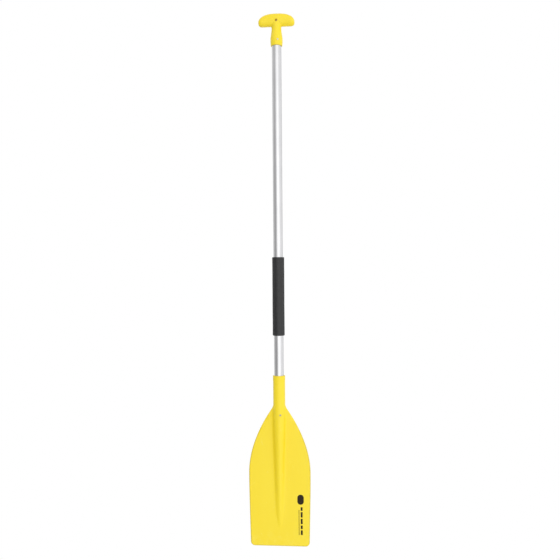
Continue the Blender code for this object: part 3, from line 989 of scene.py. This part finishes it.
def make_paddle():
    grip_plastic = plastic_material("grip_plastic", GRIP_SCUFFS).material
    put_in_place(make_blade(), blade_material(), "blade")
    put_in_place(make_t_grip(), grip_plastic, "t_grip")
    put_in_place(make_tube(), tube_material(), "shaft_tube")
    sleeve = make_sleeve()
    put_in_place(sleeve, foam_material(), "foam_sleeve")
    mandrel_metal = mandrel_material()
    rivet_metals = {
        # Both rivet colours are tinted yellow as a painted reflection of the yellow plastic around them,
        # and the blade's is also darker and browner than the grip's.
        "grip_rivet": rivet_material("pressed_aluminium_painted_yellow_reflection", (0.74, 0.71, 0.62), 0.30, 0.48),
        "blade_rivet": rivet_material("dulled_aluminium_painted_yellow_reflection", (0.54, 0.49, 0.36), 0.40, 0.58),
    }
    for name, rivet_metal in rivet_metals.items():
        body, stub = make_rivet(name)
        put_in_place(body, rivet_metal, name)
        put_in_place(stub, mandrel_metal, f"{name}_mandrel")
    plug_foam = plug_material()
    for name in ("lower_plug", "upper_plug"):
        dress(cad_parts[name], plug_foam)


# ------------------------------------------------------------------- floor, light and camera


def seen_from_camera(azimuth, elevation=0.0):
    """A direction from the paddle: azimuth 0 points at the camera, and positive is to its right."""
    turn = CAMERA_AZIMUTH + math.radians(azimuth)
    rise = math.radians(elevation)
    return Vector((math.sin(turn) * math.cos(rise), -math.cos(turn) * math.cos(rise), math.sin(rise)))


def make_floor():
    """A round pale floor under the hanging paddle, which fades into the backdrop towards its rim."""
    count, radius, height = 96, FLOOR_RADIUS, TIP - FLOOR_DROP
    turns = [math.tau * i / count for i in range(count)]
    rim = [(radius * math.cos(turn), radius * math.sin(turn), height) for turn in turns]
    floor = mesh_object("studio_floor", rim, [tuple(range(count))])
    shading = Shading("studio_white", (0.82, 0.82, 0.82), 0.9)
    shading.shader.inputs["Specular IOR Level"].default_value = 0.1
    away = shading.length(shading.vector_maths("MULTIPLY", shading.place, (1.0, 1.0, 0.0)))
    blend = shading.add("ShaderNodeMixShader")
    shading.link(shading.ramp(away, 0.45 * radius, 0.98 * radius, 0.0, 1.0), blend.inputs["Fac"])
    shading.link(shading.shader.outputs["BSDF"], blend.inputs[1])
    shading.link(shading.add("ShaderNodeBsdfTransparent").outputs["BSDF"], blend.inputs[2])
    shading.link(blend.outputs["Shader"], shading.tree.nodes["Material Output"].inputs["Surface"])
    dress(floor, shading.material)


def make_world():
    """A pale tent that lights the paddle: a bright panel by the camera and a shaded left side.

    The tent's patches only light the paddle. Behind it, every view has the same white backdrop.
    """
    world = bpy.data.worlds.new("studio")
    bpy.context.scene.world = world
    world.use_nodes = True
    tree = world.node_tree
    place = tree.nodes.new("ShaderNodeTexCoord").outputs["Generated"]
    level = None
    for azimuth, elevation, outer, inner, brightness in TENT_PATCHES:
        lean = tree.nodes.new("ShaderNodeVectorMath")
        lean.operation = "DOT_PRODUCT"
        lean.inputs[1].default_value = seen_from_camera(azimuth, elevation)
        tree.links.new(place, lean.inputs[0])
        share = tree.nodes.new("ShaderNodeMapRange")
        share.interpolation_type = "SMOOTHSTEP"
        share.inputs["From Min"].default_value = math.cos(math.radians(outer))
        share.inputs["From Max"].default_value = math.cos(math.radians(inner))
        tree.links.new(lean.outputs["Value"], share.inputs["Value"])
        mix = tree.nodes.new("ShaderNodeMix")
        mix.data_type = "FLOAT"
        mix.inputs["A"].default_value = TENT_LEVEL
        mix.inputs["B"].default_value = brightness
        tree.links.new(share.outputs["Result"], mix.inputs["Factor"])
        if level is not None:
            tree.links.new(level, mix.inputs["A"])
        level = mix.outputs["Result"]
    seen = tree.nodes.new("ShaderNodeMix")
    seen.data_type = "FLOAT"
    seen.inputs["B"].default_value = BACKDROP_LEVEL
    tree.links.new(tree.nodes.new("ShaderNodeLightPath").outputs["Is Camera Ray"], seen.inputs["Factor"])
    tree.links.new(level, seen.inputs["A"])
    tree.links.new(seen.outputs["Result"], tree.nodes["Background"].inputs["Strength"])
    tree.nodes["Background"].inputs["Color"].default_value = (1.0, 1.0, 1.0, 1.0)


def make_camera():
    data = bpy.data.cameras.new("camera")
    data.sensor_width = SENSOR_WIDTH
    data.lens = SENSOR_WIDTH * CAMERA_DISTANCE / VIEW_WIDTH
    camera = bpy.data.objects.new("camera", data)
    towards = Vector((math.sin(CAMERA_AZIMUTH), -math.cos(CAMERA_AZIMUTH), 0.0))
    across = Vector((math.cos(CAMERA_AZIMUTH), math.sin(CAMERA_AZIMUTH), 0.0))
    target = Vector((0.0, 0.0, TIP + CAMERA_HEIGHT)) + across * CAMERA_SIDESTEP
    camera.location = target + towards * CAMERA_DISTANCE
    level = (-towards).to_track_quat("-Z", "Y").to_matrix().to_4x4()
    turned = level @ Matrix.Rotation(-CAMERA_ROLL, 4, "Z")
    camera.rotation_euler = turned.to_euler()
    bpy.context.scene.collection.objects.link(camera)
    bpy.context.scene.camera = camera


bpy.context.scene.view_settings.view_transform = "Standard"
make_paddle()
make_floor()
make_world()
make_camera()

bpy.context.view_layer.update()
